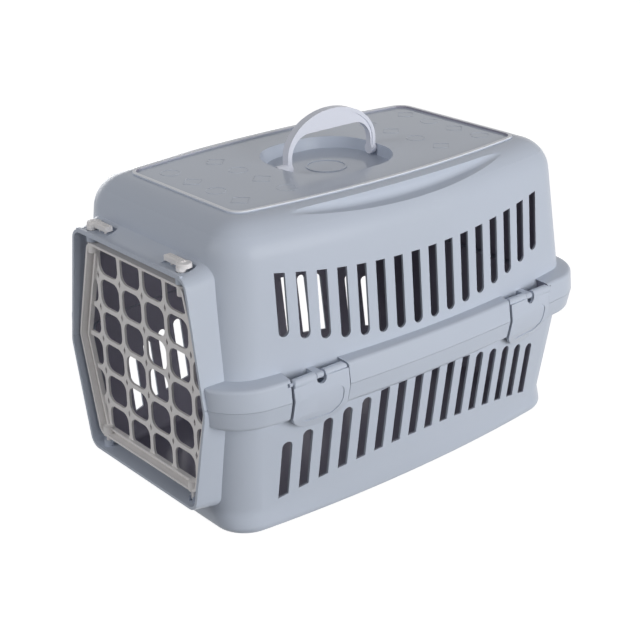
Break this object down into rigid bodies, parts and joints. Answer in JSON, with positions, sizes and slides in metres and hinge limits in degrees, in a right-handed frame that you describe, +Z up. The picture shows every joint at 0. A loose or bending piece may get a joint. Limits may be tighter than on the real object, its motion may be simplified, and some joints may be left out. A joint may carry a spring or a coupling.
{
  "type": "pet carrier",
  "caption": "Two-part moulded plastic pet carrier with slotted walls, a lattice front door on lift pins, a folding top handle and side clips.",
  "frame": {"origin": "middle of the footprint, on the surface the carrier stands on", "axes": "+X across the carrier, +Y along it away from the door, +Z up"},
  "size_m": [0.3224, 0.486, 0.3562],
  "materials": {
    "shell_plastic": "smooth moulded polypropylene, light blue grey",
    "clip_plastic": "smooth moulded polypropylene, light blue grey",
    "handle_plastic": "slightly glossy moulded plastic",
    "door_plastic": "moulded plastic, warm light grey"
  },
  "bodies": {
    "tub": {"lower_tub": "shell_plastic"},
    "shell": {"upper_shell": "shell_plastic"},
    "door": {"door_grille": "door_plastic"},
    "knob_left": {"door_knob_left": "door_plastic"},
    "knob_right": {"door_knob_right": "door_plastic"},
    "handle": {"carry_handle": "handle_plastic"},
    "clip_rf": {"clip_right_front": "clip_plastic"},
    "clip_rr": {"clip_right_rear": "clip_plastic"},
    "clip_lf": {"clip_left_front": "clip_plastic"},
    "clip_lr": {"clip_left_rear": "clip_plastic"}
  },
  "joints": [
    {"name": "shell_lift", "type": "slide", "parent": "tub", "child": "shell", "axis": [0, 0, 1], "range_m": [0, 0.25]},
    {"name": "door_swing", "type": "hinge", "parent": "tub", "child": "door", "pos_m": [-0.074, -0.233, 0.15], "axis": [0, 0, -1], "range_deg": [0, 110]},
    {"name": "knob_left_lift", "type": "slide", "parent": "shell", "child": "knob_left", "axis": [0, 0, 1], "range_m": [0, 0.006]},
    {"name": "knob_right_lift", "type": "slide", "parent": "shell", "child": "knob_right", "axis": [0, 0, 1], "range_m": [-0.0028, 0.0032]},
    {"name": "handle_fold", "type": "hinge", "parent": "shell", "child": "handle", "pos_m": [0, 0.0033, 0.304], "axis": [0, 1, 0], "range_deg": [-88, 88]},
    {"name": "clip_rf_open", "type": "hinge", "parent": "shell", "child": "clip_rf", "pos_m": [0.14985, -0.1412, 0.163], "axis": [0, -1, 0], "range_deg": [-2, 100]},
    {"name": "clip_rr_open", "type": "hinge", "parent": "shell", "child": "clip_rr", "pos_m": [0.15006, 0.1385, 0.163], "axis": [0, -1, 0], "range_deg": [-2, 100]},
    {"name": "clip_lf_open", "type": "hinge", "parent": "shell", "child": "clip_lf", "pos_m": [-0.14985, -0.1412, 0.163], "axis": [0, 1, 0], "range_deg": [-2, 100]},
    {"name": "clip_lr_open", "type": "hinge", "parent": "shell", "child": "clip_lr", "pos_m": [-0.15006, 0.1385, 0.163], "axis": [0, 1, 0], "range_deg": [-2, 100]}
  ]
}
